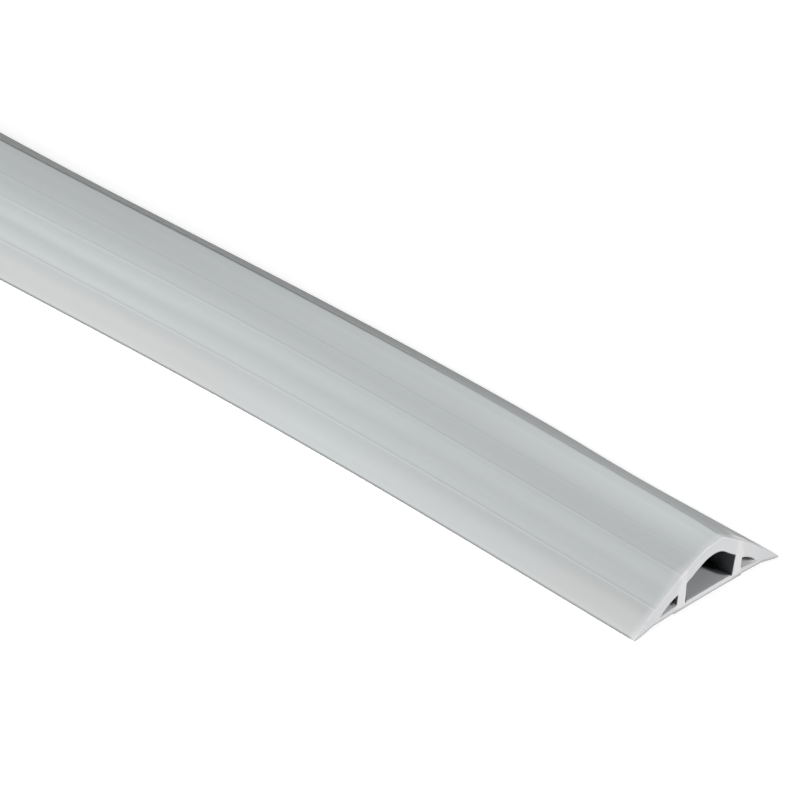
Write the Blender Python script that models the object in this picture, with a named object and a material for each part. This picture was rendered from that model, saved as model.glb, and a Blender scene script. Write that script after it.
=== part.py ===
"""Flexible cable channel: one length of soft extruded floor channel.

The channel lies on the floor with its length along X. Its section is a low
dome with thin edges, a main hollow between two upright webs, and a small
three-cornered hollow in each wing. The hollows run right through. Like all
soft stock that has been coiled, the length keeps a slight sideways bow.

The origin is the middle of the footprint, on the floor.
"""

import math

import bpy
from mathutils import Vector
from mathutils.geometry import tessellate_polygon

# Overall size, in metres
LENGTH = 1.000
WIDTH = 0.070
HEIGHT = 0.023

# Outside of the dome, from the crest down to the thin edge
EDGE_THICKNESS = 0.0006
EDGE_NOSE = 0.0004
EDGE_SLOPE = math.radians(50)
EDGE_REACH = 0.0090
CREST_REACH = 0.0030
FLANK_STEPS = 12

# Underside: thin edges and web feet below, wings and floor plate hollowed
CONTACT_WIDTH = 0.0016
WING_RISE_WIDTH = 0.0070
WING_RISE = 0.0018
WING_TOP = 0.0025
FOOT_BOTTOM = 0.0018
FOOT_INNER = 0.0106
FOOT_OUTER = 0.0162
FOOT_SIDE_SLOPE = 0.0004
PLATE_BOTTOM = 0.0028

# Main hollow
FLOOR_TOP = 0.0041
WALL_FOOT = 0.0112
WALL_HEAD = 0.0117
WALL_HEAD_HEIGHT = 0.0115
ROOF_HEIGHT = 0.0170
ROOF_CREST_REACH = 0.0040
ROOF_EAVES_REACH = 0.0060
ROOF_SLOPE = math.radians(28)
ROOF_STEPS = 6

# Small hollow in each wing
SIDE_INNER = 0.0157
SIDE_HEAD_HEIGHT = 0.0087
SIDE_FOOT_HEIGHT = 0.0046
SIDE_OUTER = 0.0233
SIDE_OUTER_HEIGHT = 0.0039
SIDE_ROOF_BULGE = 0.0006
SIDE_ROOF_STEPS = 3

# Sideways bow: offsets that pull on the middle line at even distances from
# the +X end, starting one step before it
BOW_STEP = 0.100
BOW_PULLS = (
    -0.0050, -0.0029, 0.0015, 0.0021, -0.0026, -0.0028, -0.0015,
    -0.0003, 0.0005, 0.0009, 0.0009, 0.0007, 0.0003,
)
BOW_SLOPE_REACH = 0.001
STATIONS = 26

# Soft light grey plastic
COLOUR = (0.50, 0.53, 0.53, 1.0)
ROUGHNESS = 0.48
SHARP_EDGE = math.radians(25)


def bezier(start, start_pull, end_pull, end, steps):
    """Points along one cubic curve, both ends included."""
    points = []
    for step in range(steps + 1):
        t = step / steps
        u = 1 - t
        weights = (u * u * u, 3 * u * u * t, 3 * u * t * t, t * t * t)
        corners = (start, start_pull, end_pull, end)
        x = sum(w * c[0] for w, c in zip(weights, corners))
        y = sum(w * c[1] for w, c in zip(weights, corners))
        points.append((x, y))
    return points


def mirrored(points):
    """The points and their mirror images, as one loop through both halves."""
    images = [(-across, up) for across, up in reversed(points) if across > 0]
    return points + images


def outside_loop():
    """The outer outline, from the crest round the +Y edge and back."""
    edge = (WIDTH / 2 - EDGE_NOSE, EDGE_THICKNESS)
    edge_pull = (
        edge[0] - EDGE_REACH * math.cos(EDGE_SLOPE),
        edge[1] + EDGE_REACH * math.sin(EDGE_SLOPE),
    )
    half = bezier((0.0, HEIGHT), (CREST_REACH, HEIGHT), edge_pull, edge, FLANK_STEPS)
    contact = WIDTH / 2 - CONTACT_WIDTH
    half += [
        (WIDTH / 2, 0.0),
        (contact, 0.0),
        (contact - WING_RISE_WIDTH, WING_RISE),
        (FOOT_OUTER + FOOT_SIDE_SLOPE, WING_TOP),
        (FOOT_OUTER, FOOT_BOTTOM),
        (FOOT_INNER, FOOT_BOTTOM),
        (FOOT_INNER - FOOT_SIDE_SLOPE, PLATE_BOTTOM),
    ]
    return mirrored(half)


def main_hollow_loop():
    """The main hollow, from its roof's crest down the +Y wall and back."""
    eaves_pull = (
        WALL_HEAD - ROOF_EAVES_REACH * math.cos(ROOF_SLOPE),
        WALL_HEAD_HEIGHT + ROOF_EAVES_REACH * math.sin(ROOF_SLOPE),
    )
    half = bezier(
        (0.0, ROOF_HEIGHT),
        (ROOF_CREST_REACH, ROOF_HEIGHT),
        eaves_pull,
        (WALL_HEAD, WALL_HEAD_HEIGHT),
        ROOF_STEPS,
    )
    half.append((WALL_FOOT, FLOOR_TOP))
    return mirrored(half)


def side_hollow_loop(side):
    """The hollow in the wing on one side, +1 or -1 along Y."""
    points = []
    for step in range(SIDE_ROOF_STEPS + 1):
        t = step / SIDE_ROOF_STEPS
        across = SIDE_INNER + t * (SIDE_OUTER - SIDE_INNER)
        up = SIDE_HEAD_HEIGHT + t * (SIDE_OUTER_HEIGHT - SIDE_HEAD_HEIGHT)
        points.append((across, up + SIDE_ROOF_BULGE * math.sin(math.pi * t)))
    points.append((SIDE_INNER, SIDE_FOOT_HEIGHT))
    return [(side * across, up) for across, up in points]


def signed_area(loop):
    following = loop[1:] + loop[:1]
    return sum(a[0] * b[1] - b[0] * a[1] for a, b in zip(loop, following)) / 2


def section_loops():
    """Every outline, each turned so that the solid is on its left side."""
    loops = [outside_loop(), main_hollow_loop(), side_hollow_loop(1), side_hollow_loop(-1)]
    turned = []
    for index, loop in enumerate(loops):
        wants_positive = index == 0
        if (signed_area(loop) > 0) != wants_positive:
            loop = loop[::-1]
        turned.append(loop)
    return turned


def bow_weights(t):
    """A uniform cubic B-spline's four weights."""
    return (
        (1 - t) ** 3 / 6,
        (3 * t ** 3 - 6 * t ** 2 + 4) / 6,
        (-3 * t ** 3 + 3 * t ** 2 + 3 * t + 1) / 6,
        t ** 3 / 6,
    )


def bow_at(distance):
    """Sideways offset of the middle line, this far from the +X end."""
    span = min(int(distance / BOW_STEP), len(BOW_PULLS) - 4)
    t = distance / BOW_STEP - span
    return sum(w * BOW_PULLS[span + k] for k, w in enumerate(bow_weights(t)))


def bow_slope(distance):
    """How far the middle line moves sideways for each metre of length."""
    near = max(distance - BOW_SLOPE_REACH, 0.0)
    far = min(distance + BOW_SLOPE_REACH, LENGTH)
    return (bow_at(far) - bow_at(near)) / (far - near)


def station_points(loops, distance):
    """The section's points at one station, square to the middle line."""
    turn = math.atan(bow_slope(distance))
    points = []
    for loop in loops:
        for across, up in loop:
            along = -distance + across * math.sin(turn)
            sideways = bow_at(distance) + across * math.cos(turn)
            points.append(Vector((along, sideways, up)))
    return points


def centred(points):
    """The points moved so that their footprint's middle is the origin."""
    xs = [point.x for point in points]
    ys = [point.y for point in points]
    middle = Vector(((min(xs) + max(xs)) / 2, (min(ys) + max(ys)) / 2, 0.0))
    return [point - middle for point in points]


def wall_faces(loops, count):
    """Quads that join each station's outlines to the next station's."""
    faces = []
    for station in range(STATIONS):
        first = station * count
        start = 0
        for loop in loops:
            size = len(loop)
            for index in range(size):
                a = first + start + index
                b = first + start + (index + 1) % size
                faces.append((a, a + count, b + count, b))
            start += size
    return faces


def end_faces(loops, count):
    """Both cut ends: triangles between the outer outline and the hollows."""
    flat = [[Vector((across, up, 0.0)) for across, up in loop] for loop in loops]
    corners = [point for loop in flat for point in loop]
    faces = []
    for a, b, c in tessellate_polygon(flat):
        ab = corners[b] - corners[a]
        ac = corners[c] - corners[a]
        if ab.cross(ac).z < 0:
            b, c = c, b
        faces.append((a, b, c))
        last = STATIONS * count
        faces.append((last + a, last + c, last + b))
    return faces


def clear_scene():
    for thing in list(bpy.data.objects):
        bpy.data.objects.remove(thing, do_unlink=True)


def soft_grey_plastic():
    material = bpy.data.materials.new("soft_grey_plastic")
    material.use_nodes = True
    shader = material.node_tree.nodes["Principled BSDF"]
    shader.inputs["Base Color"].default_value = COLOUR
    shader.inputs["Roughness"].default_value = ROUGHNESS
    shader.inputs["Metallic"].default_value = 0.0
    return material


def make_channel():
    """The whole length of channel, as one closed solid."""
    loops = section_loops()
    count = sum(len(loop) for loop in loops)
    points = []
    for station in range(STATIONS + 1):
        points += station_points(loops, LENGTH * station / STATIONS)
    faces = wall_faces(loops, count) + end_faces(loops, count)

    mesh = bpy.data.meshes.new("cable_channel")
    mesh.from_pydata(centred(points), [], faces)
    mesh.validate()
    mesh.shade_smooth()
    mesh.set_sharp_from_angle(angle=SHARP_EDGE)
    mesh.materials.append(soft_grey_plastic())
    channel = bpy.data.objects.new("cable_channel", mesh)
    bpy.context.scene.collection.objects.link(channel)
    return channel


clear_scene()
make_channel()
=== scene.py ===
"""One length of soft floor channel for cables, dressed and set up for a studio picture.

The channel is made as straight stock first: its section, with the fine lines
that the die leaves, is run along X in many rings. Geometry Nodes then round
the cut ends and lay the stock along its slightly bowed middle line.
"""

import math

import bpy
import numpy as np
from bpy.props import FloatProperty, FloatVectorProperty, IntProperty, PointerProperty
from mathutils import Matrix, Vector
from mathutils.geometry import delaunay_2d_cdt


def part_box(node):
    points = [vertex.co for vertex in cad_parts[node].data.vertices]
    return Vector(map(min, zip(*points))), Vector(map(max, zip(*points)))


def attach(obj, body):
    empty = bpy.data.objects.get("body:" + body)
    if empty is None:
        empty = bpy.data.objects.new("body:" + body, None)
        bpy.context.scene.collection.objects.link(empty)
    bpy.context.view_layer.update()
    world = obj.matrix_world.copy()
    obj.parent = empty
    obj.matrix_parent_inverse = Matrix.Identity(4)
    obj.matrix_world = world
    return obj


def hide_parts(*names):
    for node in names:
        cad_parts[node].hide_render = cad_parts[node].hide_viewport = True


bl_info = {
    "name": "Flexible cable channel",
    "version": (1, 0, 0),
    "blender": (4, 5, 0),
    "location": "3D Viewport > Sidebar > Channel",
    "description": "Builds a length of soft floor channel for cables, and a studio for it",
    "category": "Object",
}

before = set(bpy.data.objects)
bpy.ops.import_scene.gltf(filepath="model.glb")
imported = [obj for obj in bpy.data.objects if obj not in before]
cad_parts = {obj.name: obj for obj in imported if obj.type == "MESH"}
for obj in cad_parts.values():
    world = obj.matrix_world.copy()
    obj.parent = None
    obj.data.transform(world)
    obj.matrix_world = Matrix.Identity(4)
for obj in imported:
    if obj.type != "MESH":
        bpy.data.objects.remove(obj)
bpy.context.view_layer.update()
NODE = "cable_channel"
NODE_LOW, NODE_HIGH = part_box(NODE)
NODE_MIDDLE = (NODE_LOW + NODE_HIGH) / 2
BODY = "root"
MM = 0.001

# The section, in metres: half of it, from the middle out to the +Y edge
EDGE_NOSE = 0.4 * MM
EDGE_SLOPE = math.radians(50)
EDGE_REACH = 6.6 * MM
CONTACT_WIDTH = 1.6 * MM
WING_RISE_WIDTH = 7.0 * MM
WING_RISE = 1.6 * MM
WING_TOP = 2.0 * MM
FOOT_BOTTOM = 1.5 * MM
FOOT_INNER = 10.6 * MM
FOOT_OUTER = 16.2 * MM
FOOT_SIDE_SLOPE = 0.4 * MM
PLATE_BOTTOM = 1.6 * MM
FLOOR_TOP = 4.1 * MM
WALL_FOOT = 11.2 * MM
WALL_HEAD = 11.7 * MM
WALL_HEAD_HEIGHT = 11.5 * MM
ROOF_HEIGHT = 17.0 * MM
ROOF_CREST_REACH = 4.0 * MM
ROOF_EAVES_REACH = 6.0 * MM
ROOF_SLOPE = math.radians(28)
SIDE_INNER = 15.7 * MM
SIDE_HEAD_HEIGHT = 8.7 * MM
SIDE_FOOT_HEIGHT = 4.6 * MM
SIDE_OUTER = 23.3 * MM
SIDE_OUTER_HEIGHT = 3.9 * MM
SIDE_ROOF_BULGE = 0.6 * MM

# The soft dome has slumped a little: its ridge leans towards +Y. The flank on
# that side, the lee side, runs nearly straight, and the other one, the windward
# side, bends at a shoulder
RIDGE_ACROSS = 2.8 * MM
RIDGE_DROP = 0.4 * MM
RIDGE_REACH = 0.7 * MM
CROWN_SLOPE = math.radians(9)
CROWN_REACH = 4.0 * MM
SHOULDER_ACROSS = 6.5 * MM
SHOULDER_HEIGHT = 20.1 * MM
SHOULDER_SLOPE = math.radians(28.4)
SHOULDER_REACH = 3.0 * MM
FLANK_REACH = 10.1 * MM
LEE_START = 1.6 * MM
LEE_DROP = 0.55 * MM
LEE_SLOPE = math.radians(34)
LEE_REACH = 9.0 * MM
LEE_EDGE_SLOPE = math.radians(45)
LEE_EDGE_REACH = 5.5 * MM

# How finely the section is drawn: first the steps of each dense curve, then the
# distance between the points that are picked from it
CROWN_STEPS = 1500
TURN_STEPS = 300
FLANK_STEPS = 4000
FLANK_SPACING = 0.7 * MM
LINE_SPACING = 0.12 * MM
LINE_REACH = 3
RIDGE_SPACING = 0.3 * MM
RIDGE_ZONE = 3.0 * MM
ROOF_STEPS = 14
SIDE_ROOF_STEPS = 6

# Corners of the section: steps, radius, its share of the shortest side, and the
# angle from which a corner is left as it is
CORNER_STEPS = 3
CORNER_RADIUS = 0.35 * MM
CORNER_SHARE = 0.35
FLAT_CORNER = math.radians(160)
SAME_POINT = 1e-9

# Raised lines on the dome: distance from the middle, height and half width
DIE_LINES = (
    (25.9 * MM, 0.06 * MM, 0.23 * MM),
    (14.3 * MM, 0.055 * MM, 0.28 * MM),
    (8.2 * MM, 0.03 * MM, 0.26 * MM),
)

# Soft swells between the lines: distance from the middle, height, half width
SWELLS = (
    (29.5 * MM, 0.10 * MM, 2.6 * MM),
    (21.8 * MM, -0.05 * MM, 1.2 * MM),
    (18.4 * MM, 0.07 * MM, 1.4 * MM),
    (11.0 * MM, -0.05 * MM, 2.0 * MM),
)

# Painted light and shade on the dome, as a share of the plastic's colours, standing in for how
# the studio light falls on it.
# On the windward side it runs in bands: distance from the ridge, how much lighter or darker, and
# half width
PLAIN_TONE = 0.93
PAINTED_LIGHT_BANDS = (
    (1.6 * MM, 0.27, 3.2 * MM),
    (6.6 * MM, 0.035, 1.6 * MM),
    (12.6 * MM, -0.07, 2.6 * MM),
    (20.2 * MM, 0.09, 1.3 * MM),
    (23.4 * MM, -0.055, 0.9 * MM),
    (27.2 * MM, 0.04, 1.2 * MM),
    (29.3 * MM, -0.02, 0.8 * MM),
    (32.9 * MM, 0.065, 1.4 * MM),
)
BAND_WOBBLE = 0.8 * MM

# On the lee side the painted light falls off from the ridge to the edge, as that side turns from
# the light, and drops further where the piece runs on: by how much, and where along the length
LEE_RIDGE_SHADE = 0.985
LEE_EDGE_SHADE = 0.735
LEE_FADE = (7.0 * MM, 22.0 * MM)
LEE_BREAK = (RIDGE_ACROSS - 0.3 * MM, RIDGE_ACROSS + 0.3 * MM)
LEE_SHADE_STEP = 0.27
LEE_SHADE_STEP_FADE = (100.0 * MM, 160.0 * MM)

# Painted light that drifts slowly along the length: the flank and the crown take turns being lit
LIGHT_DRIFT_LENGTH = 280.0 * MM
FLANK_LIGHT_DRIFT = 0.055
CROWN_LIGHT_DRIFT = -0.085
LEE_LIGHT_DRIFT = -0.06
CROWN_FADE = (-12.0 * MM, -4.0 * MM)

# How far the soft +Y wing is pushed out or drawn in along the length: distance
# from the +X end, shift of its edge and half width
WING_SWAYS = (
    (0.0 * MM, 0.5 * MM, 12.0 * MM),
    (58.0 * MM, -1.3 * MM, 20.0 * MM),
    (265.0 * MM, -1.95 * MM, 100.0 * MM),
)

# The ridge stands further out near the +X end: how far, and where that fades
RIDGE_SWAY = 0.9 * MM
SWAY_REACH = 3.5 * MM
SWAY_FADE = (110.0 * MM, 200.0 * MM)

# Where the soft dome stands up or sinks next to the +X cut: distance from the
# middle, height, half width and half length
CUT_LIFTS = (
    (17.0 * MM, 0.8 * MM, 5.5 * MM, 16.0 * MM),
    (2.8 * MM, -0.6 * MM, 3.0 * MM, 6.0 * MM),
)

# Rounding of the cut's other edges, and how far out the underside's one reaches
HOLLOW_ROUNDING = 0.25 * MM
FLOOR_ROUNDING = 0.4 * MM
LEE_ROUNDING = 0.35 * MM
LEE_ROUNDING_START = -3.0 * MM
UNDERSIDE_ROUNDING = 0.45 * MM
UNDERSIDE_REACH = 28.0 * MM

# Heights between which the dome's rounding grows from none at the thin edge
ROUNDING_GROWS = (1.0 * MM, 6.0 * MM)

# How squarely a point has to face up or down to count as the dome or underside,
# as a hollow's floor, or as the flat underside
SIDE_FACING = 0.3
FLOOR_FACING = 0.5
UNDER_FACING = 0.85

# Rings along the length: on the cut's rounding, and close behind it
ROUNDING_RINGS = 7
CLOSE_RINGS = 6
CLOSE_SPACING = 0.5 * MM

# The angle between two faces from which their edge is shown sharp
SHARP_EDGE = math.radians(38)

# Wander of the thin edges: its noise, and how fast it dies away from the edges
WANDER_SCALE = 11.0
WANDER_DETAIL = 1.5
WANDER_POWER = 6.0

# Painted shadow on the main hollow's floor beside its walls, as the walls shade it further in:
# its full width, how far in from the cut it has grown by two thirds, and how dense it is
MARGIN_WIDTH = 4.0 * MM
MARGIN_DEPTH = 2.2 * MM
MARGIN_SHARE = 0.86

# Painted light on the side hollows' floors next to the cut, where light falls in: where that
# fades out
FLOOR_LIGHT_FADE = (2.5 * MM, 8.5 * MM)

# Painted highlight on the rim behind each cut, where its rounded edge catches the light: where it
# fades out, by how much later at the webs and on the lee wing, and how much of a rounding has the
# cut's own colours
RIM_FADE = (0.5 * MM, 3.0 * MM)
WEB_MIDDLE = 15.0 * MM
WEB_HALF_WIDTH = 2.0 * MM
WEB_RIM_EXTRA = 1.5 * MM
LEE_RIM_EXTRA = 1.0 * MM
EDGE_SHARE = 0.9

# What the points and faces keep that the plastic's colours go by
STORED_VALUES = (
    "along", "across", "up", "from_end", "hollow",
    "under", "floor_light", "rim", "edge", "cut",
)

# The plastic's own patterns: noise drawn out along the length, as its scale
# along and across, and its detail
STREAKS = (1.2, 160.0, 5.0)
BANDS = (2.2, 45.0, 2.0)
LINES = (1.6, 420.0, 1.0)
WOBBLE = (14.0, 60.0, 2.0)
FINE_LINES = (3.0, 900.0, 3.0)
STREAK_SHARE = 0.4
BAND_SHARE = 0.35
LINE_SHARE = 0.25
PATTERN_SPAN = (0.38, 0.62)

# Gloss and grain: how far the roughness strays, and the fine unevenness
ROUGHNESS_LESS = 0.04
ROUGHNESS_MORE = 0.06
ROUGHNESS_SPAN = (0.3, 0.7)
SPECULAR = 0.45
GRAIN_SCALE = 900.0
GRAIN_DETAIL = 3.0
GRAIN_SHARE = 0.5
GRAIN_STRENGTH = 0.12
GRAIN_HEIGHT = 0.1 * MM

# Neutral patches along the windward edge: where they begin across the piece, how
# ragged that line is, and between which distances from the +X end they are faint
NEUTRAL_FADE = (-25.0 * MM, -30.0 * MM)
NEUTRAL_RAGGED = 12.0 * MM
NEUTRAL_NEAR = (130.0 * MM, -20.0 * MM)
NEUTRAL_FAR = (150.0 * MM, 200.0 * MM)

# Where one colour gives way to the next, by distance from the middle
WING_FADE = (13.0 * MM, 14.0 * MM)
WALL_FADE = (10.6 * MM, 10.8 * MM)
MARGIN_FADE = (10.8 * MM, 11.6 * MM)
WEB_INNER = (10.6 * MM, 11.6 * MM)
WEB_OUTER = (16.8 * MM, 15.6 * MM)

# Over the hollows the pale web gets narrower, from both sides
WEB_NARROWS = (WALL_HEAD_HEIGHT - 2.0 * MM, WALL_HEAD_HEIGHT + 2.0 * MM)
WEB_INNER_LESS = 1.3 * MM
WEB_OUTER_LESS = 1.0 * MM

# The same by height: over the floor, where the thin edges get painted shade; over a hollow's
# floor; over the underside, where the cut's lower rim gets painted shade
EDGE_SHADE_FADE = (0.75 * MM, 0.35 * MM)
PLATE_FADE = (4.6 * MM, 4.0 * MM)
WALL_RISE_FADE = (0.1 * MM, 0.5 * MM)
LOWER_RIM_FADE = (0.95 * MM, 0.7 * MM)

# Where the painted rim highlight's colours change across the piece, and how much less of the
# cut's own colours its edge has at the crown
CROWN_RIM_FADE = (-7.0 * MM, -1.0 * MM)
WING_RIM_FADE = (9.0 * MM, 14.0 * MM)
CROWN_EDGE_LESS = 0.4

# Sideways bow: offsets that pull on the middle line at even distances from
# the +X end, starting one step before it
BOW_STEP = 100.0 * MM
BOW_PULLS = (-5.0, -2.9, 1.5, 2.1, -2.6, -2.8, -1.5, -0.3, 0.5, 0.9, 0.9, 0.7, 0.3)
BOW_RESOLUTION = 16

# Studio: where each softbox stands, seen from the cut end that faces the
# camera, as bearing and height in degrees, distance, width and power
SOFTBOXES = (
    ("side", -100.0, 35.0, 1.5, 0.6, 24.0),
    ("low_side", -80.0, 22.0, 1.5, 0.6, 7.5),
    ("low_end", 24.0, 17.0, 1.5, 0.4, 16.2),
    ("high_end", 24.0, 32.0, 1.5, 0.4, 2.6),
)
AIM_FROM_END = 140.2 * MM
AIM_SIDEWAYS = 10.8 * MM
VIEW_YAW = math.radians(127.687)
VIEW_PITCH = math.radians(33.573)
VIEW_ROLL = math.radians(5.833)
VIEW_DISTANCE = 1.9713
LENS_MM = 270.8
SENSOR_MM = 36.0
CLIP_START = 0.05
CLIP_END = 50.0
FLOOR_SIZE = 12.0
FLOOR_ROUGHNESS = 0.9


def measure(name, description, default):
    """A property that holds one length."""
    return FloatProperty(name=name, description=description, default=default, unit="LENGTH")


def tint(name, description, default):
    """A property that holds one colour."""
    return FloatVectorProperty(
        name=name, description=description, default=default, subtype="COLOR", size=3
    )


class ChannelSize(bpy.types.PropertyGroup):
    """Sizes of the channel that a user would change."""

    length: FloatProperty(
        name="Length",
        description="Length of the piece along its middle line",
        default=1.0,
        min=0.1,
        unit="LENGTH",
    )
    width: measure("Width", "Width across both thin edges", 70.0 * MM)
    height: measure("Height", "Height of the crest over the floor", NODE_HIGH.z - NODE_LOW.z)
    edge_thickness: measure("Edge thickness", "Thickness of the thin edges", 0.6 * MM)
    cut_rounding: measure(
        "Cut rounding", "How far the dome is rounded over at the cut ends", 0.8 * MM
    )
    rings: IntProperty(
        name="Rings",
        description="Number of steps along the length",
        default=180,
        min=20,
    )
    edge_wander: measure(
        "Edge wander", "How far the thin edges stray from a true line", 0.15 * MM
    )
    wander_seed: IntProperty(
        name="Wander seed",
        description="Picks another run of the edges' wander",
        default=7,
    )


class ChannelFinish(bpy.types.PropertyGroup):
    """Colours and gloss of the soft grey plastic."""

    grey: tint("Grey", "Main colour of the plastic", (0.381, 0.4005, 0.4053))
    light_grey: tint("Light grey", "Colour of the lighter streaks", (0.420, 0.441, 0.4463))
    neutral_grey: tint(
        "Neutral grey", "Colour of the patches along the -Y edge", (0.398, 0.4015, 0.402)
    )
    cut_grey: tint("Cut grey", "Colour of the cut ends", (0.420, 0.423, 0.429))
    web_grey: tint(
        "Web grey", "Colour of the cut across the webs and the plate", (0.475, 0.473, 0.478)
    )
    # Painted highlights on the rim behind the cuts, where the rounded edge catches the light
    rim_highlight_grey: tint("Rim grey", "Colour of the pale rim behind the cuts", (0.425, 0.43, 0.435))
    crown_rim_highlight_grey: tint("Crown rim grey", "Colour of the rim at the ridge", (0.60, 0.61, 0.615))
    lee_rim_highlight_grey: tint("Lee rim grey", "Colour of the rim on the +Y wing", (0.84, 0.84, 0.85))
    # The hollows' floors are drawn paler than the plastic, as painted light where light falls in
    hollow_floor: tint("Hollow floor", "Colour of the main hollow's floor", (0.60, 0.62, 0.635))
    wing_floor: tint("Wing floor", "Colour of the side hollows' floors", (0.95, 0.95, 0.955))
    # Painted shade on the underside and on the cut's lower rim, where the piece sits close over
    # the floor
    underside_shade_grey: tint("Under grey", "Colour of the underside", (0.30, 0.30, 0.305))
    # Painted shade on the hollows' walls and roofs, where little light gets in
    hollow_shade_grey: tint(
        "Inside grey", "Colour of the hollows' walls and roofs", (0.042, 0.046, 0.048)
    )
    # Painted shade along the thin edges' lower rim, where they meet the floor
    edge_shade_grey: tint(
        "Edge shade grey", "Painted shade on the thin edges' lower rim", (0.16, 0.17, 0.17)
    )
    roughness: FloatProperty(
        name="Roughness",
        description="Roughness of the plastic",
        subtype="FACTOR",
        default=0.46,
        min=0.0,
        max=1.0,
    )


class StudioLook(bpy.types.PropertyGroup):
    """The floor's colour and the strength of the studio light."""

    floor: tint("Floor", "Colour of the plain floor", (0.65, 0.65, 0.65))
    floor_glow: FloatProperty(
        name="Floor glow",
        description="Light that the floor gives off itself, which washes out soft shadows",
        default=0.595,
        min=0.0,
    )
    light: FloatProperty(
        name="Light",
        description="Strength of all the softboxes together",
        default=1.0,
        min=0.0,
    )
    ambient: FloatProperty(
        name="Ambient",
        description="Strength of the even light from all round",
        default=0.0,
        min=0.0,
    )


def bezier_point(corners, t):
    """A point of the cubic curve with these four corners."""
    u = 1 - t
    weights = (u * u * u, 3 * u * u * t, 3 * u * t * t, t * t * t)
    x = sum(w * c[0] for w, c in zip(weights, corners))
    y = sum(w * c[1] for w, c in zip(weights, corners))
    return Vector((x, y))


def bump(distance, height, half_width):
    """A smooth rise of this height, fading out past its half width."""
    return height * math.exp(-0.5 * (distance / half_width) ** 2)


def relief(across):
    """How far the dome's surface stands off its plain curve."""
    lines = sum(bump(across - at, height, wide) for at, height, wide in DIE_LINES)
    swells = sum(bump(across - at, height, wide) for at, height, wide in SWELLS)
    return lines + swells


def fading(distance, start, end):
    """1 up to the start, 0 past the end, and evenly less in between."""
    return min(1.0, max(0.0, (end - distance) / (end - start)))


def wing_sway(across, along, half_width):
    """How far this point is pushed out, with the +Y wing or with the ridge."""
    share = max(0.0, across / half_width)
    wing = share * share * sum(bump(along - at, shift, wide) for at, shift, wide in WING_SWAYS)
    return wing + fading(along, *SWAY_FADE) * bump(across - RIDGE_ACROSS, RIDGE_SWAY, SWAY_REACH)


def cut_lift(across, along):
    """How far the dome stands up here, next to the +X cut."""
    total = 0.0
    for at, height, wide, reach in CUT_LIFTS:
        total += bump(across - at, height, wide) * bump(along, 1.0, reach)
    return total


def rim_highlight_share(across, from_end):
    """How much of the painted rim highlight shows at this distance from the cut."""
    at_web = bump(abs(across) - WEB_MIDDLE, WEB_RIM_EXTRA, WEB_HALF_WIDTH)
    at_lee = LEE_RIM_EXTRA * min(1.0, max(0.0, across / WEB_MIDDLE))
    return fading(from_end - at_web - at_lee, *RIM_FADE)


def down_slope(point, slope, reach):
    """The point this far down a slope, or up it where the reach is negative."""
    return Vector((point[0] + reach * math.cos(slope), point[1] - reach * math.sin(slope)))


def curve_through(corners, steps):
    return [bezier_point(corners, step / steps) for step in range(steps)]


def windward_curve(size, ridge):
    """The -Y side, drawn towards +Y: ridge, crown, shoulder and bent flank."""
    shoulder = (SHOULDER_ACROSS, SHOULDER_HEIGHT)
    edge = (size.width / 2 - EDGE_NOSE, size.edge_thickness)
    crown = (
        ridge,
        down_slope(ridge, CROWN_SLOPE, CROWN_REACH),
        down_slope(shoulder, SHOULDER_SLOPE, -SHOULDER_REACH),
        shoulder,
    )
    flank = (
        shoulder,
        down_slope(shoulder, SHOULDER_SLOPE, FLANK_REACH),
        down_slope(edge, EDGE_SLOPE, -EDGE_REACH),
        edge,
    )
    points = curve_through(crown, CROWN_STEPS) + curve_through(flank, FLANK_STEPS)
    return points + [Vector(edge)]


def lee_curve(size, ridge):
    """The +Y side: a tight turn at the ridge, then a nearly straight flank."""
    start = (ridge[0] + LEE_START, ridge[1] - LEE_DROP)
    edge = (size.width / 2 - EDGE_NOSE, size.edge_thickness)
    turn = (
        ridge,
        (ridge[0] + RIDGE_REACH, ridge[1]),
        down_slope(start, LEE_SLOPE, -RIDGE_REACH),
        start,
    )
    flank = (
        start,
        down_slope(start, LEE_SLOPE, LEE_REACH),
        down_slope(edge, LEE_EDGE_SLOPE, -LEE_EDGE_REACH),
        edge,
    )
    points = curve_through(turn, TURN_STEPS) + curve_through(flank, FLANK_STEPS)
    return points + [Vector(edge)]


def flank_points(fine):
    """The curve's points, closely spaced where a line runs, with the relief on."""
    points = [fine[0]]
    for before, here in zip(fine, fine[1:]):
        to_line = min(abs(here.x - at) - LINE_REACH * wide for at, height, wide in DIE_LINES)
        spacing = LINE_SPACING if to_line < 0 else FLANK_SPACING
        if here.x < RIDGE_ACROSS + RIDGE_ZONE:
            spacing = RIDGE_SPACING
        if (here - points[-1]).length < spacing:
            continue
        slope = (here - before).normalized()
        normal = Vector((-slope.y, slope.x))
        points.append(here + normal * relief(here.x))
    points[-1] = fine[-1]
    return points


def eased(points, radius, steps):
    """The loop with each sharp corner cut round."""
    result = []
    count = len(points)
    for index, corner in enumerate(points):
        before = points[index - 1]
        after = points[(index + 1) % count]
        back = before - corner
        ahead = after - corner
        if back.angle(ahead) > FLAT_CORNER:
            result.append(corner)
            continue
        reach = min(radius, CORNER_SHARE * back.length, CORNER_SHARE * ahead.length)
        start = corner + back.normalized() * reach
        end = corner + ahead.normalized() * reach
        for step in range(steps + 1):
            t = step / steps
            u = 1 - t
            result.append(u * u * start + 2 * u * t * corner + t * t * end)
    return result


def mirrored(points):
    """The points and their mirror images, as one loop through both halves."""
    images = [Vector((-p.x, p.y)) for p in reversed(points) if p.x > SAME_POINT]
    return points + images


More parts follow.
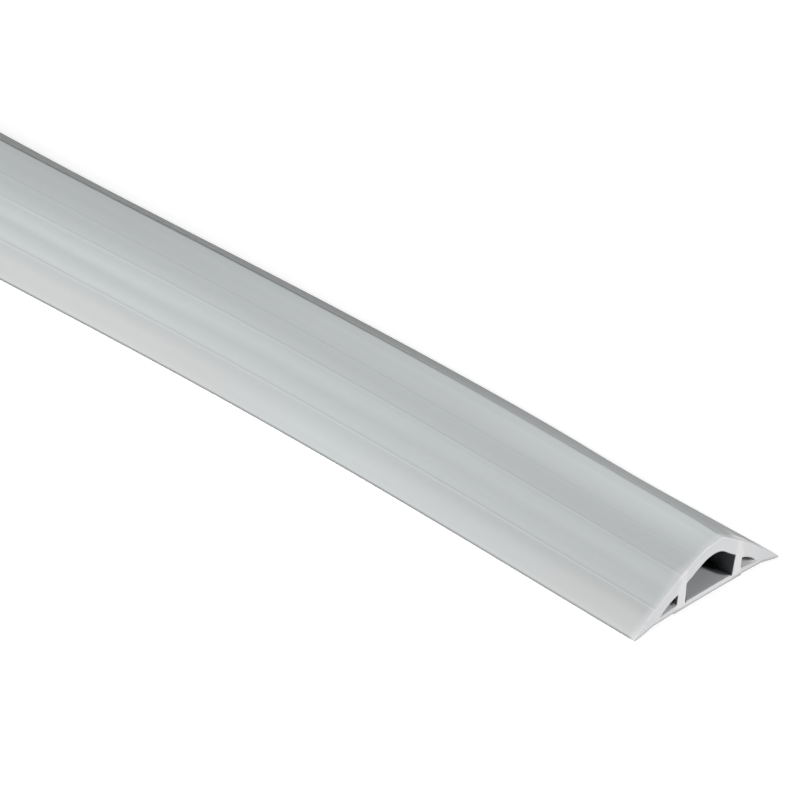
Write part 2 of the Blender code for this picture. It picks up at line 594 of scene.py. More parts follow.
def underside(size):
    """Half the underside, from the thin edge to the floor plate."""
    contact = size.width / 2 - CONTACT_WIDTH
    points = (
        (size.width / 2, 0.0),
        (contact, 0.0),
        (contact - WING_RISE_WIDTH, WING_RISE),
        (FOOT_OUTER + FOOT_SIDE_SLOPE, WING_TOP),
        (FOOT_OUTER, FOOT_BOTTOM),
        (FOOT_INNER, FOOT_BOTTOM),
        (FOOT_INNER - FOOT_SIDE_SLOPE, PLATE_BOTTOM),
    )
    return [Vector(point) for point in points]


def outside_loop(size):
    """The outer outline, from the ridge round the +Y edge and back."""
    height = size.height - RIDGE_DROP
    lee = flank_points(lee_curve(size, (RIDGE_ACROSS, height))) + underside(size)
    windward = flank_points(windward_curve(size, (-RIDGE_ACROSS, height)))[1:]
    windward += underside(size)
    back = [Vector((-point.x, point.y)) for point in reversed(windward)]
    return eased(lee + back, CORNER_RADIUS / 2, CORNER_STEPS)


def main_hollow_loop():
    """The main hollow, from its roof's crest down the +Y wall and back."""
    eaves_pull = (
        WALL_HEAD - ROOF_EAVES_REACH * math.cos(ROOF_SLOPE),
        WALL_HEAD_HEIGHT + ROOF_EAVES_REACH * math.sin(ROOF_SLOPE),
    )
    corners = (
        (0.0, ROOF_HEIGHT),
        (ROOF_CREST_REACH, ROOF_HEIGHT),
        eaves_pull,
        (WALL_HEAD, WALL_HEAD_HEIGHT),
    )
    half = [bezier_point(corners, step / ROOF_STEPS) for step in range(ROOF_STEPS + 1)]
    half.append(Vector((WALL_FOOT, FLOOR_TOP)))
    return eased(mirrored(half), CORNER_RADIUS, CORNER_STEPS)


def side_hollow_loop(side):
    """The hollow in the wing on one side, +1 or -1 along Y."""
    points = []
    for step in range(SIDE_ROOF_STEPS + 1):
        t = step / SIDE_ROOF_STEPS
        across = SIDE_INNER + t * (SIDE_OUTER - SIDE_INNER)
        up = SIDE_HEAD_HEIGHT + t * (SIDE_OUTER_HEIGHT - SIDE_HEAD_HEIGHT)
        points.append(Vector((side * across, up + SIDE_ROOF_BULGE * math.sin(math.pi * t))))
    points.append(Vector((side * SIDE_INNER, SIDE_FOOT_HEIGHT)))
    return eased(points, CORNER_RADIUS, CORNER_STEPS)


def signed_area(loop):
    following = loop[1:] + loop[:1]
    return sum(a.x * b.y - b.x * a.y for a, b in zip(loop, following)) / 2


def section_loops(size):
    """Every outline, each turned so that the plastic is on its left side."""
    loops = [outside_loop(size), main_hollow_loop()]
    loops += [side_hollow_loop(1), side_hollow_loop(-1)]
    turned = []
    for index, loop in enumerate(loops):
        if (signed_area(loop) > 0) != (index == 0):
            loop = loop[::-1]
        turned.append(loop)
    return turned


def inward_directions(loop):
    """For each point of an outline, the direction into the plastic."""
    inward = []
    count = len(loop)
    for index in range(count):
        ahead = (loop[(index + 1) % count] - loop[index - 1]).normalized()
        inward.append(Vector((-ahead.y, ahead.x)))
    return inward


def cut_roundings(size, loops):
    """How far each point's cut edge is rounded: the dome most, the hollows least."""
    roundings = []
    for index, loop in enumerate(loops):
        for point, inward in zip(loop, inward_directions(loop)):
            rounding = HOLLOW_ROUNDING
            if index > 0 and inward.y < -FLOOR_FACING:
                rounding = FLOOR_ROUNDING
            if index == 0 and inward.y > SIDE_FACING and abs(point.x) < UNDERSIDE_REACH:
                rounding = UNDERSIDE_ROUNDING
            if index == 0 and inward.y < -SIDE_FACING:
                full = size.cut_rounding if point.x < LEE_ROUNDING_START else LEE_ROUNDING
                grown = 1.0 - fading(point.y, *ROUNDING_GROWS)
                rounding += (full - rounding) * grown
            roundings.append(rounding)
    return roundings


def encloses(loop, point):
    """True where the point lies inside the outline."""
    inside = False
    for a, b in zip(loop, loop[1:] + loop[:1]):
        if (a.y > point.y) == (b.y > point.y):
            continue
        if point.x < a.x + (point.y - a.y) / (b.y - a.y) * (b.x - a.x):
            inside = not inside
    return inside


def cut_triangles(loops):
    """The plastic that a cut lays bare, as triangles of the outlines' own points."""
    points = [point for loop in loops for point in loop]
    edges = []
    start = 0
    for loop in loops:
        total = len(loop)
        edges += [(start + index, start + (index + 1) % total) for index in range(total)]
        start += total
    result = delaunay_2d_cdt(points, edges, [], 0, SAME_POINT)
    places, faces, origins = result[0], result[2], result[3]
    triangles = []
    for face in faces:
        middle = (places[face[0]] + places[face[1]] + places[face[2]]) / 3
        if sum(encloses(loop, middle) for loop in loops) == 1:
            triangles.append([origins[corner][0] for corner in face])
    return triangles


def ring_distances(size):
    """Distances of the rings from the +X end: close at both cut ends."""
    radius = size.cut_rounding
    quarter = math.pi / 2
    close = [radius * (1 - math.cos(quarter * k / ROUNDING_RINGS)) for k in range(ROUNDING_RINGS)]
    close += [radius + step * CLOSE_SPACING for step in range(CLOSE_RINGS)]
    inner = np.linspace(close[-1] + MM, size.length - close[-1] - MM, size.rings)
    far = [size.length - distance for distance in reversed(close)]
    return close + [float(distance) for distance in inner] + far


def store(mesh, name, kind, values, domain="POINT"):
    """Keeps one value for each point, or for each face, under this name."""
    attribute = mesh.attributes.new(name, kind, domain)
    if kind == "FLOAT_VECTOR":
        attribute.data.foreach_set("vector", [c for value in values for c in value])
    else:
        attribute.data.foreach_set("value", values)


def keep_places(mesh, size, loops, distances):
    """Lets each point keep its place on the channel and what the cut does there."""
    flat = [point for loop in loops for point in loop]
    inward = [direction for loop in loops for direction in inward_directions(loop)]
    roundings = cut_roundings(size, loops)
    rings = len(distances)
    from_end = [min(d, size.length - d) for d in distances]
    half = size.width / 2
    in_hollow = [0.0] * len(loops[0]) + [1.0] * (len(flat) - len(loops[0]))
    facing = list(zip(inward, in_hollow))
    under = [float(n.y > UNDER_FACING and not inside) for n, inside in facing]
    top = [n.y < -SIDE_FACING and not inside for n, inside in facing]

    store(mesh, "across", "FLOAT", [p.x for p in flat] * rings)
    store(mesh, "up", "FLOAT", [p.y for p in flat] * rings)
    store(mesh, "inward", "FLOAT_VECTOR", [(0.0, n.x, n.y) for n in inward] * rings)
    store(mesh, "rounding", "FLOAT", roundings * rings)
    store(mesh, "hollow", "FLOAT", in_hollow * rings)
    store(mesh, "under", "FLOAT", under * rings)

    store(mesh, "along", "FLOAT", [d for d in distances for _ in flat])
    store(mesh, "from_end", "FLOAT", [d for d in from_end for _ in flat])
    lit = [fading(d, *FLOOR_LIGHT_FADE) for d in from_end for _ in flat]
    store(mesh, "floor_light", "FLOAT", lit)
    store(mesh, "rim", "FLOAT", [rim_highlight_share(p.x, d) for d in from_end for p in flat])
    edge = [float(d < EDGE_SHARE * r) for d in from_end for r in roundings]
    store(mesh, "edge", "FLOAT", edge)

    store(mesh, "sway", "FLOAT", [wing_sway(p.x, d, half) for d in distances for p in flat])
    lifts = [cut_lift(p.x, d) * on_top for d in distances for p, on_top in zip(flat, top)]
    store(mesh, "lift", "FLOAT", lifts)


def straight_stock(size):
    """The channel before it is bowed, with what each point knows about itself."""
    loops = section_loops(size)
    count = sum(len(loop) for loop in loops)
    distances = ring_distances(size)
    points = [(-d, p.x, p.y) for d in distances for loop in loops for p in loop]
    faces = []
    for ring in range(len(distances) - 1):
        start = ring * count
        for loop in loops:
            total = len(loop)
            for index in range(total):
                a = start + index
                b = start + (index + 1) % total
                faces.append((a, a + count, b + count, b))
            start += total
    wall_count = len(faces)
    last = (len(distances) - 1) * count
    for a, b, c in cut_triangles(loops):
        faces.append((a, b, c))
        faces.append((last + a, last + c, last + b))
    cut_count = len(faces) - wall_count

    mesh = bpy.data.meshes.new("straight_stock")
    mesh.from_pydata(points, [], faces)
    mesh.polygons.foreach_set("use_smooth", [True] * wall_count + [False] * cut_count)
    store(mesh, "cut", "FLOAT", [0.0] * wall_count + [1.0] * cut_count, "FACE")
    keep_places(mesh, size, loops, distances)
    return mesh


def middle_line():
    """The bowed middle line, as an open uniform B-spline on the floor."""
    curve = bpy.data.curves.new("middle_line", "CURVE")
    curve.dimensions = "3D"
    spline = curve.splines.new("NURBS")
    spline.points.add(len(BOW_PULLS) - 1)
    for index, pull in enumerate(BOW_PULLS):
        along = -BOW_STEP * (index - 1)
        spline.points[index].co = (along, pull * MM, 0.0, 1.0)
    spline.order_u = 4
    spline.use_endpoint_u = False
    spline.resolution_u = BOW_RESOLUTION
    line = bpy.data.objects.new("middle_line", curve)
    bpy.context.scene.collection.objects.link(line)
    return line


class Tree:
    """Short calls for building one node tree."""

    def __init__(self, tree):
        self.tree = tree

    def node(self, kind, settings=None, **inputs):
        made = self.tree.nodes.new(kind)
        for name, value in (settings or {}).items():
            setattr(made, name, value)
        for name, value in inputs.items():
            self.feed(made, name, value)
        return made

    def feed(self, node, name, value):
        """Links an output to the input, or sets the input's own value."""
        key = int(name[1:]) if name[1:].isdigit() else name.replace("_", " ")
        socket = node.inputs[key]
        if isinstance(value, bpy.types.NodeSocket):
            self.tree.links.new(value, socket)
        else:
            socket.default_value = value

    def math(self, operation, first, second=None):
        made = self.node("ShaderNodeMath", {"operation": operation}, i0=first)
        if second is not None:
            self.feed(made, "i1", second)
        return made.outputs[0]

    def vector(self, operation, first, second):
        made = self.node("ShaderNodeVectorMath", {"operation": operation}, i0=first)
        self.feed(made, "Scale" if operation == "SCALE" else "i1", second)
        return made.outputs[0]


def add_input(tree, name, kind, description, default=None):
    """A named input of a Geometry Nodes tree."""
    socket = tree.interface.new_socket(name, in_out="INPUT", socket_type=kind)
    socket.description = description
    if default is not None:
        socket.default_value = default
    return socket


def bowing_tree():
    """Geometry Nodes that round the cut ends and lay straight stock on its line."""
    tree = bpy.data.node_groups.new("lay_along_middle_line", "GeometryNodeTree")
    add_input(tree, "Geometry", "NodeSocketGeometry", "Straight stock along -X")
    add_input(tree, "Middle line", "NodeSocketObject", "Curve that the stock follows")
    add_input(tree, "Length", "NodeSocketFloat", "Length of the stock", 1.0)
    add_input(tree, "Half width", "NodeSocketFloat", "Half the stock's width", 0.035)
    add_input(tree, "Edge wander", "NodeSocketFloat", "How far the edges stray", 0.0)
    add_input(tree, "Seed", "NodeSocketInt", "Picks the run of the wander", 0)
    add_input(tree, "Plastic", "NodeSocketMaterial", "Finish of the whole piece")
    tree.interface.new_socket("Geometry", in_out="OUTPUT", socket_type="NodeSocketGeometry")

    t = Tree(tree)
    source = t.node("NodeGroupInput").outputs
    along = named(t, "along")
    across = named(t, "across")
    up = named(t, "up")
    rounding = named(t, "rounding")
    inward = named(t, "inward", "FLOAT_VECTOR")

    from_far = t.math("SUBTRACT", source["Length"], along)
    from_end = t.math("MINIMUM", along, from_far)
    short = t.math("MAXIMUM", t.math("SUBTRACT", rounding, from_end), 0.0)
    left = t.math("SUBTRACT", t.math("POWER", rounding, 2.0), t.math("POWER", short, 2.0))
    inset = t.math("SUBTRACT", rounding, t.math("SQRT", t.math("MAXIMUM", left, 0.0)))
    step_in = t.vector("SCALE", inward, inset)
    step_parts = t.node("ShaderNodeSeparateXYZ", i0=step_in)

    noise = t.node("ShaderNodeTexNoise", {"noise_dimensions": "4D"})
    place = t.node("ShaderNodeCombineXYZ", i0=along, i1=t.math("SIGN", across))
    t.feed(noise, "Vector", place.outputs[0])
    t.feed(noise, "W", source["Seed"])
    t.feed(noise, "Scale", WANDER_SCALE)
    t.feed(noise, "Detail", WANDER_DETAIL)
    stray = t.math("SUBTRACT", noise.outputs[0], 0.5)
    share = t.math("DIVIDE", t.math("ABSOLUTE", across), source["Half width"])
    at_edge = t.math("POWER", share, WANDER_POWER)
    wander = t.math("MULTIPLY", t.math("MULTIPLY", stray, at_edge), source["Edge wander"])

    line = t.node("GeometryNodeObjectInfo", Object=source["Middle line"])
    factor = t.math("DIVIDE", along, source["Length"])
    sampled = t.node(
        "GeometryNodeSampleCurve",
        {"mode": "FACTOR", "use_all_curves": True},
        Curves=line.outputs["Geometry"],
        Factor=factor,
    )
    upright = t.node("ShaderNodeCombineXYZ", i2=1.0).outputs[0]
    square = t.vector("CROSS_PRODUCT", sampled.outputs["Tangent"], upright)
    wander = t.math("ADD", wander, named(t, "sway"))
    wide = t.math("ADD", t.math("ADD", across, step_parts.outputs[1]), wander)
    high = t.math("ADD", t.math("ADD", up, step_parts.outputs[2]), named(t, "lift"))
    sideways = t.vector("SCALE", square, wide)
    lifted = t.vector("SCALE", upright, high)
    on_line = t.vector("ADD", sampled.outputs["Position"], sideways)
    place = t.vector("ADD", on_line, lifted)

    moved = t.node("GeometryNodeSetPosition", Geometry=source["Geometry"], Position=place)
    solid = t.node("GeometryNodeRealizeInstances", Geometry=moved.outputs[0])
    finished = t.node("GeometryNodeSetMaterial", Geometry=solid.outputs[0])
    t.feed(finished, "Material", source["Plastic"])
    t.node("NodeGroupOutput", Geometry=finished.outputs[0])
    return tree


def named(t, name, kind="FLOAT"):
    """The value that each point of the stock keeps under this name."""
    made = t.node("GeometryNodeInputNamedAttribute", {"data_type": kind}, Name=name)
    return made.outputs["Attribute"]


def set_inputs(modifier, tree, values):
    """Sets a modifier's inputs by their sockets' identifiers."""
    for item in tree.interface.items_tree:
        if item.item_type == "SOCKET" and item.in_out == "INPUT" and item.name in values:
            modifier[item.identifier] = values[item.name]


def evaluated_mesh(thing, name):
    """The object's evaluated shape as a plain mesh."""
    bpy.context.view_layer.update()
    graph = bpy.context.evaluated_depsgraph_get()
    mesh = bpy.data.meshes.new_from_object(thing.evaluated_get(graph))
    mesh.name = name
    return mesh


def soft_grey_plastic(size, finish):
    """Soft extruded plastic: streaked along its length, paler on the cut, with painted light and
    shade on the dome and in the hollows, a painted highlight on the rim behind each cut, and
    painted shade underneath and along the lower rims.
    """
    material = bpy.data.materials.new("soft_grey_plastic")
    material.use_nodes = True
    shader = material.node_tree.nodes["Principled BSDF"]
    t = Tree(material.node_tree)
    at = {name: attribute(t, name) for name in STORED_VALUES}
    at["middle"] = t.math("ABSOLUTE", at["across"])
    streaks = stretched_noise(t, at, STREAKS)

    body = streaked_grey(t, at, finish, streaks)
    # Painted shade on the underside
    body = blend_colours(t, at["under"], body, finish.underside_shade_grey)
    # Painted shade along the thin edges' lower rim, where they meet the floor
    body = blend_colours(t, ramp(t, at["up"], *EDGE_SHADE_FADE), body, finish.edge_shade_grey)
    in_wing = ramp(t, at["middle"], *WING_FADE)
    # Painted shade on the hollows' walls and roofs, and painted light on their floors
    inside = t.math("MULTIPLY", at["hollow"], over_hollow_floor(t, at, in_wing))
    body = blend_colours(t, at["hollow"], body, hollow_floors(t, at, finish, in_wing))
    body = blend_colours(t, inside, body, finish.hollow_shade_grey)

    # Painted highlight on the rim behind each cut
    on_crown = ramp(t, at["across"], *CROWN_RIM_FADE)
    on_wing = ramp(t, at["across"], *WING_RIM_FADE)
    body = with_rim_highlight(t, at, finish, body, on_crown, on_wing)
    less = t.math("MULTIPLY", t.math("SUBTRACT", on_crown, on_wing), -CROWN_EDGE_LESS)
    edge = t.math("MULTIPLY", at["edge"], t.math("ADD", less, 1.0))
    edge = t.math("MULTIPLY", edge, t.math("SUBTRACT", 1.0, inside))
    pale = t.math("MAXIMUM", at["cut"], edge)
    colour = blend_colours(t, pale, body, cut_colour(t, at, size, finish))
    t.feed(shader, "Base Color", colour)

    rough = t.node(
        "ShaderNodeMapRange",
        Value=streaks,
        From_Min=ROUGHNESS_SPAN[0],
        From_Max=ROUGHNESS_SPAN[1],
        To_Min=finish.roughness - ROUGHNESS_LESS,
        To_Max=finish.roughness + ROUGHNESS_MORE,
    )
    t.feed(shader, "Roughness", rough.outputs[0])
    t.feed(shader, "Normal", fine_grain(t, at))
    shader.inputs["Specular IOR Level"].default_value = SPECULAR
    return material


def streaked_grey(t, at, finish, streaks):
    """The plastic's grey outside, with its streaks and patches, times the painted light and
    shade.
    """
    bands = stretched_noise(t, at, BANDS)
    lines = stretched_noise(t, at, LINES)
    broad = t.math("MULTIPLY", bands, BAND_SHARE)
    mix = t.math("ADD", t.math("MULTIPLY", streaks, STREAK_SHARE), broad)
    mix = t.math("ADD", mix, t.math("MULTIPLY", lines, LINE_SHARE))
    grey = blend_colours(t, ramp(t, mix, *PATTERN_SPAN), finish.grey, finish.light_grey)

    near = ramp(t, at["along"], *NEUTRAL_NEAR)
    shown = t.math("MAXIMUM", ramp(t, at["along"], *NEUTRAL_FAR), near)
    ragged = t.math("MULTIPLY", t.math("SUBTRACT", bands, 0.5), NEUTRAL_RAGGED)
    patch = ramp(t, t.math("ADD", at["across"], ragged), *NEUTRAL_FADE)
    neutral = t.math("MULTIPLY", patch, shown)
    grey = blend_colours(t, neutral, grey, finish.neutral_grey)
    return t.vector("SCALE", grey, painted_light_and_shade(t, at))


def painted_light_and_shade(t, at):
    """Painted light and shade: how much lighter or darker the plastic is drawn here than its main
    colour, as the studio light falls on the dome.
    """
    wobble = t.math("SUBTRACT", stretched_noise(t, at, WOBBLE), 0.5)
    place = t.math("SUBTRACT", RIDGE_ACROSS, at["across"])
    place = t.math("ADD", place, t.math("MULTIPLY", wobble, 2 * BAND_WOBBLE))
    total = PLAIN_TONE
    for middle, share, wide in PAINTED_LIGHT_BANDS:
        off = t.math("DIVIDE", t.math("SUBTRACT", place, middle), wide)
        fall = t.math("EXPONENT", t.math("MULTIPLY", t.math("MULTIPLY", off, off), -0.5))
        total = t.math("ADD", total, t.math("MULTIPLY", fall, share))
    lee = ramp(t, at["across"], *LEE_BREAK)
    fade = ramp(t, at["across"], *LEE_FADE)
    flank = t.math("ADD", LEE_RIDGE_SHADE, t.math("MULTIPLY", fade, LEE_EDGE_SHADE - LEE_RIDGE_SHADE))
    total = t.math("ADD", total, t.math("MULTIPLY", lee, t.math("SUBTRACT", flank, total)))

    crown = ramp(t, at["across"], *CROWN_FADE)
    reach = t.math("ADD", FLANK_LIGHT_DRIFT, t.math("MULTIPLY", crown, CROWN_LIGHT_DRIFT - FLANK_LIGHT_DRIFT))
    reach = t.math("ADD", reach, t.math("MULTIPLY", lee, LEE_LIGHT_DRIFT - CROWN_LIGHT_DRIFT))
    turn = t.math("COSINE", t.math("MULTIPLY", at["along"], math.pi / LIGHT_DRIFT_LENGTH))
    light_drift = t.math("SUBTRACT", 1.0, t.math("MULTIPLY", turn, reach))
    step = t.math("MULTIPLY", lee, ramp(t, at["along"], *LEE_SHADE_STEP_FADE))
    light_drift = t.math("SUBTRACT", light_drift, t.math("MULTIPLY", step, LEE_SHADE_STEP))
    return t.math("MULTIPLY", total, light_drift)


def hollow_floors(t, at, finish, in_wing):
    """The hollows' floors, drawn paler as painted light, most by the cut in the wings, with a
    painted shadow beside the main walls.
    """
    lit = t.math("MULTIPLY", in_wing, at["floor_light"])
    floors = blend_colours(t, lit, finish.hollow_floor, finish.wing_floor)
    begun = t.math("EXPONENT", t.math("DIVIDE", at["from_end"], -MARGIN_DEPTH))
    reach = t.math("MULTIPLY", t.math("SUBTRACT", 1.0, begun), MARGIN_WIDTH)
    wall_shadow = ramp(t, t.math("ADD", at["middle"], reach), *MARGIN_FADE)
    in_main = t.math("SUBTRACT", 1.0, in_wing)
    wall_shadow = t.math("MULTIPLY", t.math("MULTIPLY", wall_shadow, in_main), MARGIN_SHARE)
    return blend_colours(t, wall_shadow, floors, finish.hollow_shade_grey)


def over_hollow_floor(t, at, in_wing):
    """1 on a hollow's walls and roof, 0 on its floor."""
    higher = t.math("MULTIPLY", in_wing, SIDE_FOOT_HEIGHT - FLOOR_TOP)
    over_floor = t.math("SUBTRACT", at["up"], t.math("ADD", FLOOR_TOP, higher))
    wall = ramp(t, at["middle"], *WALL_FADE)
    wall = t.math("MULTIPLY", wall, t.math("SUBTRACT", 1.0, in_wing))
    return t.math("MAXIMUM", ramp(t, over_floor, *WALL_RISE_FADE), wall)


def with_rim_highlight(t, at, finish, body, on_crown, on_wing):
    """The body's colour with the painted highlight on the rim that runs behind each cut."""
    outside = t.math("SUBTRACT", 1.0, t.math("MAXIMUM", at["hollow"], at["under"]))
    rim = t.math("MULTIPLY", at["rim"], outside)
    rim_highlight_grey = blend_colours(t, on_crown, finish.rim_highlight_grey, finish.crown_rim_highlight_grey)
    rim_highlight_grey = blend_colours(t, on_wing, rim_highlight_grey, finish.lee_rim_highlight_grey)
    return blend_colours(t, rim, body, rim_highlight_grey)


def cut_colour(t, at, size, finish):
    """The bare cut: paler on the webs and the plate, with painted shade along its lower rim."""
    higher = ramp(t, at["up"], *WEB_NARROWS)
    inner = t.math("SUBTRACT", at["middle"], t.math("MULTIPLY", higher, WEB_INNER_LESS))
    outer = t.math("ADD", at["middle"], t.math("MULTIPLY", higher, WEB_OUTER_LESS))
    plate = ramp(t, at["up"], *PLATE_FADE)
    web = t.math("MAXIMUM", ramp(t, inner, *WEB_INNER), plate)
    web = t.math("MULTIPLY", web, ramp(t, outer, *WEB_OUTER))
    bare = blend_colours(t, web, finish.cut_grey, finish.web_grey)

    contact = size.width / 2 - CONTACT_WIDTH
    wing_end = contact - WING_RISE_WIDTH
    over_underside = t.math("SUBTRACT", at["up"], PLATE_BOTTOM)
    for start, stop, rise in (
        (FOOT_INNER, FOOT_OUTER, WING_TOP - PLATE_BOTTOM),
        (FOOT_OUTER, wing_end, WING_RISE - WING_TOP),
        (wing_end, contact, -WING_RISE),
    ):
        step = t.math("MULTIPLY", ramp(t, at["middle"], start, stop), rise)
        over_underside = t.math("SUBTRACT", over_underside, step)
    # Painted shade along the cut's lower rim, standing in for the shadow in the gap under the
    # piece
    lower_rim_shade = ramp(t, over_underside, *LOWER_RIM_FADE)
    return blend_colours(t, lower_rim_shade, bare, finish.underside_shade_grey)


def fine_grain(t, at):
    """The surface's fine unevenness, as a bumped normal."""
    grain = t.node("ShaderNodeTexNoise", Scale=GRAIN_SCALE, Detail=GRAIN_DETAIL)
    t.feed(grain, "Vector", t.node("ShaderNodeTexCoord").outputs["Object"])
    lines = stretched_noise(t, at, FINE_LINES)
    height = t.math("ADD", t.math("MULTIPLY", grain.outputs[0], GRAIN_SHARE), lines)
    bumped = t.node(
        "ShaderNodeBump", Height=height, Strength=GRAIN_STRENGTH, Distance=GRAIN_HEIGHT
    )
    return bumped.outputs[0]


def ramp(t, value, start, end):
    """Rises evenly from 0 at the start to 1 at the end."""
    made = t.node("ShaderNodeMapRange", Value=value, From_Min=start, From_Max=end)
    return made.outputs[0]


def attribute(t, name):
    """The value that the piece keeps under this name."""
    return t.node("ShaderNodeAttribute", {"attribute_name": name}).outputs["Fac"]


def stretched_noise(t, at, pattern):
    """Noise drawn out along the channel's length."""
    along_scale, across_scale, detail = pattern
    place = t.node(
        "ShaderNodeCombineXYZ",
        i0=t.math("MULTIPLY", at["along"], along_scale),
        i1=t.math("MULTIPLY", at["across"], across_scale),
    )
    noise = t.node("ShaderNodeTexNoise", Scale=1.0, Detail=detail)
    t.feed(noise, "Vector", place.outputs[0])
    return noise.outputs[0]


def blend_colours(t, factor, first, second):
    """A colour between two, each a socket or three numbers."""
    made = t.node("ShaderNodeMix", {"data_type": "RGBA"})
    t.feed(made, "i0", factor)
    for index, colour in ((6, first), (7, second)):
        if not isinstance(colour, bpy.types.NodeSocket):
            colour = (*colour, 1.0)
        t.feed(made, f"i{index}", colour)
    return made.outputs[2]


def to_place(mesh):
    """Moves the mesh so that its middle is the middle of the channel's node."""
    corners = np.empty(len(mesh.vertices) * 3)
    mesh.vertices.foreach_get("co", corners)
    corners = corners.reshape(-1, 3)
    middle = (corners.min(axis=0) + corners.max(axis=0)) / 2
    shift = Vector((NODE_MIDDLE.x - middle[0], NODE_MIDDLE.y - middle[1], 0.0))
    mesh.transform(Matrix.Translation(shift))


class CHANNEL_OT_length(bpy.types.Operator):
    """Make the whole length of channel"""

    bl_idname = "channel.make_length"
    bl_label = "Channel length"

    def execute(self, context):
        size = context.scene.channel_size
        line = middle_line()
        stock = bpy.data.objects.new("stock", straight_stock(size))
        context.scene.collection.objects.link(stock)
        tree = bowing_tree()
        modifier = stock.modifiers.new("bow", "NODES")
        modifier.node_group = tree
        plastic = soft_grey_plastic(size, context.scene.channel_finish)
        values = {
            "Middle line": line,
            "Length": size.length,
            "Half width": size.width / 2,
            "Edge wander": size.edge_wander,
            "Seed": size.wander_seed,
            "Plastic": plastic,
        }
        set_inputs(modifier, tree, values)
        mesh = evaluated_mesh(stock, "channel_length")
        bpy.data.objects.remove(stock, do_unlink=True)
        bpy.data.objects.remove(line, do_unlink=True)
        if not mesh.polygons:
            raise RuntimeError("the channel's mesh came out empty")
        to_place(mesh)
        mesh.set_sharp_from_angle(angle=SHARP_EDGE)
        piece = bpy.data.objects.new("channel_length", mesh)
        context.scene.collection.objects.link(piece)
        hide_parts(NODE)
        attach(piece, BODY)
        return {"FINISHED"}


def plain_floor(studio):
    """A wide pale floor."""
    mesh = bpy.data.meshes.new("floor")
    half = FLOOR_SIZE / 2
    corners = [(-half, -half, 0.0), (half, -half, 0.0), (half, half, 0.0), (-half, half, 0.0)]
    mesh.from_pydata(corners, [], [(0, 1, 2, 3)])
    material = bpy.data.materials.new("pale_floor")
    material.use_nodes = True
    shader = material.node_tree.nodes["Principled BSDF"]
    shader.inputs["Base Color"].default_value = (*studio.floor, 1.0)
    shader.inputs["Roughness"].default_value = FLOOR_ROUGHNESS
    shader.inputs["Specular IOR Level"].default_value = 0.0
    shader.inputs["Emission Color"].default_value = (1.0, 1.0, 1.0, 1.0)
    shader.inputs["Emission Strength"].default_value = studio.floor_glow
    mesh.materials.append(material)
    floor = bpy.data.objects.new("floor", mesh)
    bpy.context.scene.collection.objects.link(floor)


def direction(bearing, elevation):
    """The way that points at this bearing and height, both in radians."""
    flat = math.cos(elevation)
    return Vector((math.cos(bearing) * flat, math.sin(bearing) * flat, math.sin(elevation)))


def softbox(name, bearing, elevation, distance, width, power, strength):
    """A square area light that faces the cut end from this bearing."""
    target = Vector((NODE_HIGH.x - AIM_FROM_END, 0.0, 0.0))
    towards = direction(math.radians(bearing), math.radians(elevation))
    light = bpy.data.lights.new(name, "AREA")
    light.shape = "SQUARE"
    light.size = width
    light.energy = power * strength
    lamp = bpy.data.objects.new(name, light)
    lamp.location = target + towards * distance
    lamp.rotation_euler = (-towards).to_track_quat("-Z", "Y").to_euler()
    bpy.context.scene.collection.objects.link(lamp)


def ambient_light(strength):
    """Even white light from all round."""
    world = bpy.data.worlds.new("studio")
    world.use_nodes = True
    background = world.node_tree.nodes["Background"]
    background.inputs["Color"].default_value = (1.0, 1.0, 1.0, 1.0)
    background.inputs["Strength"].default_value = strength
    bpy.context.scene.world = world


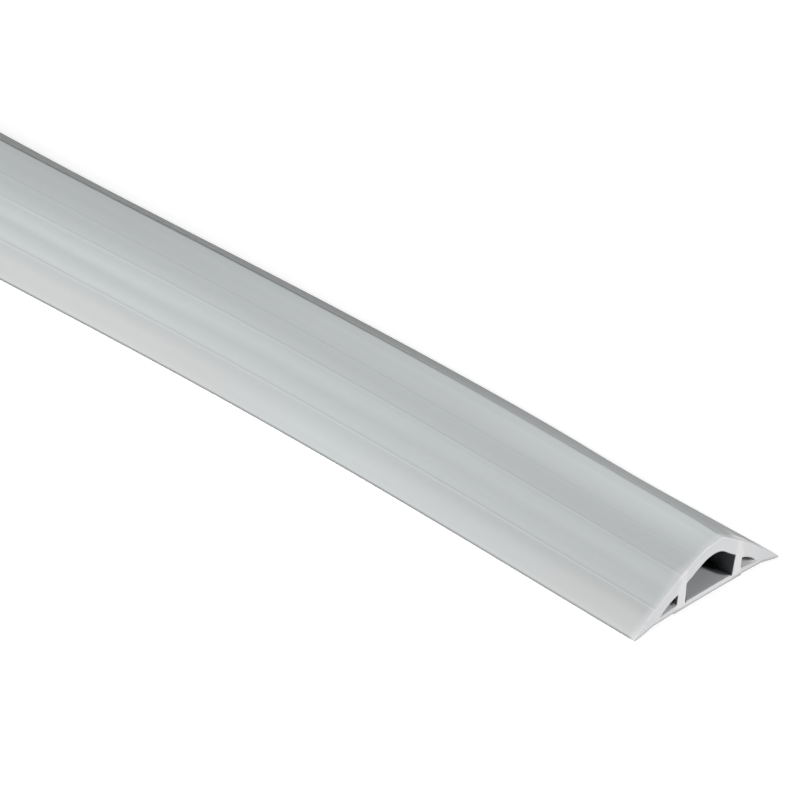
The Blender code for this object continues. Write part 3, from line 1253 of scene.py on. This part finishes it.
def view_camera():
    """The camera at the photograph's angle: aimed at a point of the floor."""
    aim = Vector((NODE_HIGH.x - AIM_FROM_END, AIM_SIDEWAYS, 0.0))
    look = direction(VIEW_YAW, -VIEW_PITCH)
    right = look.cross(Vector((0.0, 0.0, 1.0))).normalized()
    above = right.cross(look)
    rolled_right = math.cos(VIEW_ROLL) * right + math.sin(VIEW_ROLL) * above
    rolled_above = math.cos(VIEW_ROLL) * above - math.sin(VIEW_ROLL) * right
    turn = Matrix((rolled_right, rolled_above, -look)).transposed().to_4x4()
    lens = bpy.data.cameras.new("view")
    lens.sensor_width = SENSOR_MM
    lens.lens = LENS_MM
    lens.clip_start = CLIP_START
    lens.clip_end = CLIP_END
    camera = bpy.data.objects.new("view", lens)
    camera.matrix_world = Matrix.Translation(aim - VIEW_DISTANCE * look) @ turn
    bpy.context.scene.collection.objects.link(camera)
    bpy.context.scene.camera = camera


class CHANNEL_OT_studio(bpy.types.Operator):
    """Make the floor, the soft light and the camera"""

    bl_idname = "channel.make_studio"
    bl_label = "Studio"

    def execute(self, context):
        studio = context.scene.channel_studio
        plain_floor(studio)
        for name, bearing, elevation, distance, width, power in SOFTBOXES:
            softbox(name, bearing, elevation, distance, width, power, studio.light)
        ambient_light(studio.ambient)
        view_camera()
        context.scene.view_settings.view_transform = "Standard"
        context.scene.view_settings.look = "None"
        return {"FINISHED"}


class CHANNEL_PT_panel(bpy.types.Panel):
    """Lists the channel's sizes, finish and operators"""

    bl_idname = "CHANNEL_PT_panel"
    bl_label = "Cable channel"
    bl_space_type = "VIEW_3D"
    bl_region_type = "UI"
    bl_category = "Channel"

    def draw(self, context):
        scene = context.scene
        for group in (scene.channel_size, scene.channel_finish, scene.channel_studio):
            box = self.layout.box()
            for name in group.__annotations__:
                box.prop(group, name)
        for operator in OPERATORS:
            self.layout.operator(operator.bl_idname)


OPERATORS = (CHANNEL_OT_length, CHANNEL_OT_studio)
GROUPS = (
    ("channel_size", ChannelSize),
    ("channel_finish", ChannelFinish),
    ("channel_studio", StudioLook),
)


def register():
    for name, group in GROUPS:
        bpy.utils.register_class(group)
        setattr(bpy.types.Scene, name, PointerProperty(type=group))
    for operator in OPERATORS:
        bpy.utils.register_class(operator)
    bpy.utils.register_class(CHANNEL_PT_panel)


def unregister():
    bpy.utils.unregister_class(CHANNEL_PT_panel)
    for operator in reversed(OPERATORS):
        bpy.utils.unregister_class(operator)
    for name, group in reversed(GROUPS):
        delattr(bpy.types.Scene, name)
        bpy.utils.unregister_class(group)


def main():
    register()
    bpy.ops.channel.make_length()
    bpy.ops.channel.make_studio()


if __name__ == "__main__":
    main()
